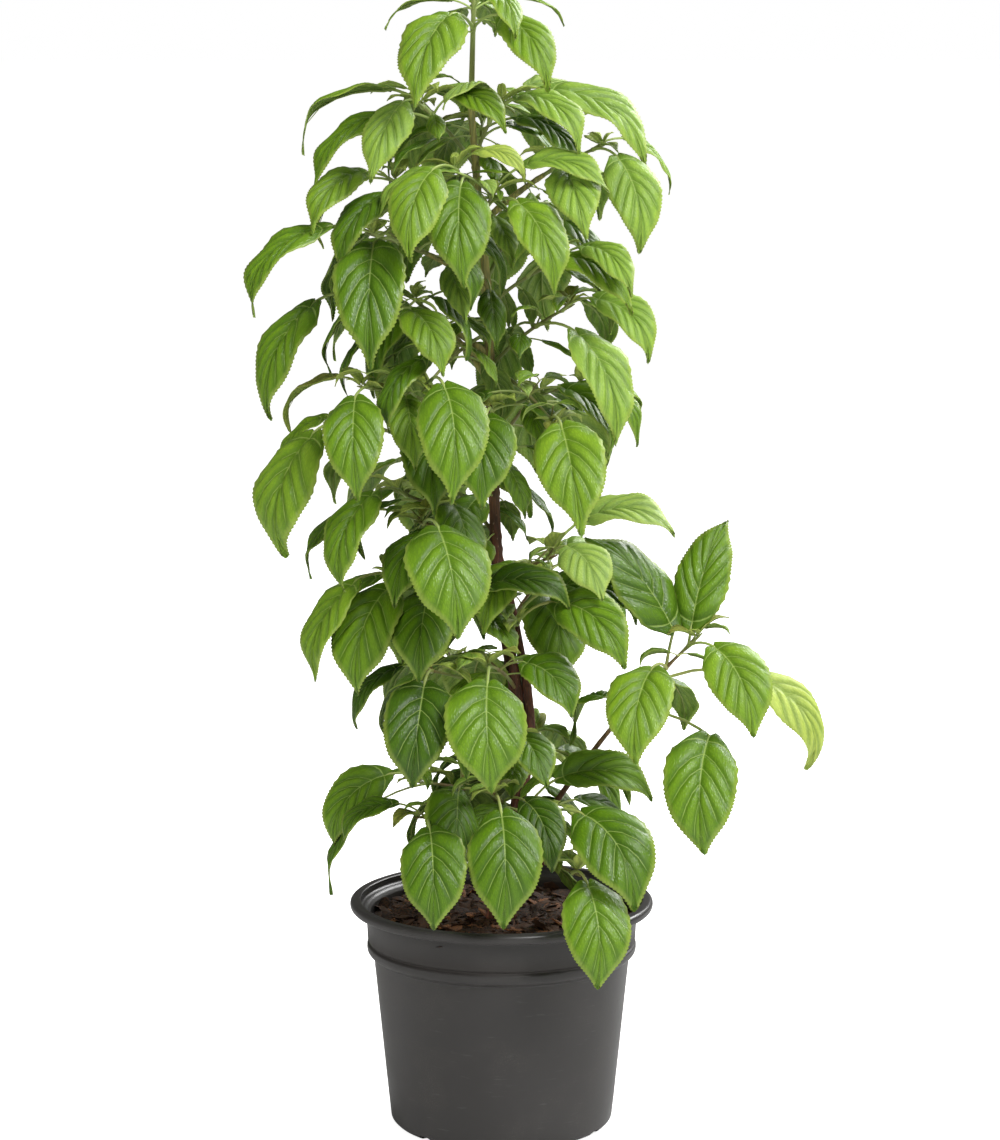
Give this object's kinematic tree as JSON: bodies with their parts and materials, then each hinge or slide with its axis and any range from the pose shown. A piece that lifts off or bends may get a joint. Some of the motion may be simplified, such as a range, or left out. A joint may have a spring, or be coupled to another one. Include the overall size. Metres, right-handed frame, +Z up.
{
  "type": "potted climbing hydrangea",
  "caption": "Young climbing hydrangea: twining woody stems with serrated oval leaves in opposite pairs, growing in a round tapered nursery pot.",
  "frame": {"origin": "centre of the pot's flat underside, on the surface that the pot stands on", "axes": "+Z up along the plant's height, -Y towards the plant's front, where its fullest leaves hang over the pot's rim, +X to the right as seen from the front"},
  "size_m": [0.3688, 0.2559, 0.7463],
  "materials": {
    "pot_plastic": "satin",
    "potting_mix": "rough",
    "bark": "rough",
    "foliage": "satin"
  },
  "bodies": {
    "root": {"bough_back_left": "bark", "bough_left_bronze": "bark", "bough_left_high": "bark", "bough_left_inner": "bark", "bough_left_low": "bark", "bough_left_mid": "bark", "bough_left_skirt": "bark", "bough_low_front_left": "bark", "bough_low_right": "bark", "bough_right_bud": "bark", "bough_right_leap": "bark", "leaves_back_base": "foliage", "leaves_back_high": "foliage", "leaves_back_knee": "foliage", "leaves_back_left": "foliage", "leaves_back_low": "foliage", "leaves_back_mid": "foliage", "leaves_back_skirt": "foliage", "leaves_back_top": "foliage", "leaves_crown": "foliage", "leaves_front_base": "foliage", "leaves_front_heart": "foliage", "leaves_front_high": "foliage", "leaves_front_knee": "foliage", "leaves_front_low": "foliage", "leaves_front_mid": "foliage", "leaves_front_skirt": "foliage", "leaves_front_stem": "foliage", "leaves_left_bronze": "foliage", "leaves_left_high": "foliage", "leaves_left_inner": "foliage", "leaves_left_knee": "foliage", "leaves_left_low": "foliage", "leaves_left_mid": "foliage", "leaves_left_shoulder": "foliage", "leaves_left_skirt": "foliage", "leaves_low_front": "foliage", "leaves_low_front_left": "foliage", "leaves_low_left": "foliage", "leaves_low_right": "foliage", "leaves_low_right_high": "foliage", "leaves_right_arch": "foliage", "leaves_right_bud": "foliage", "leaves_right_front": "foliage", "leaves_right_high": "foliage", "leaves_right_k": "foliage", "leaves_right_leap": "foliage", "leaves_right_low": "foliage", "leaves_right_mid": "foliage", "leaves_right_shoulder": "foliage", "leaves_right_small": "foliage", "leaves_right_top": "foliage", "leaves_upper_left": "foliage", "main_stem": "bark", "pot": "pot_plastic", "potting_mix": "potting_mix", "twining_stem": "bark"}
  },
  "joints": []
}
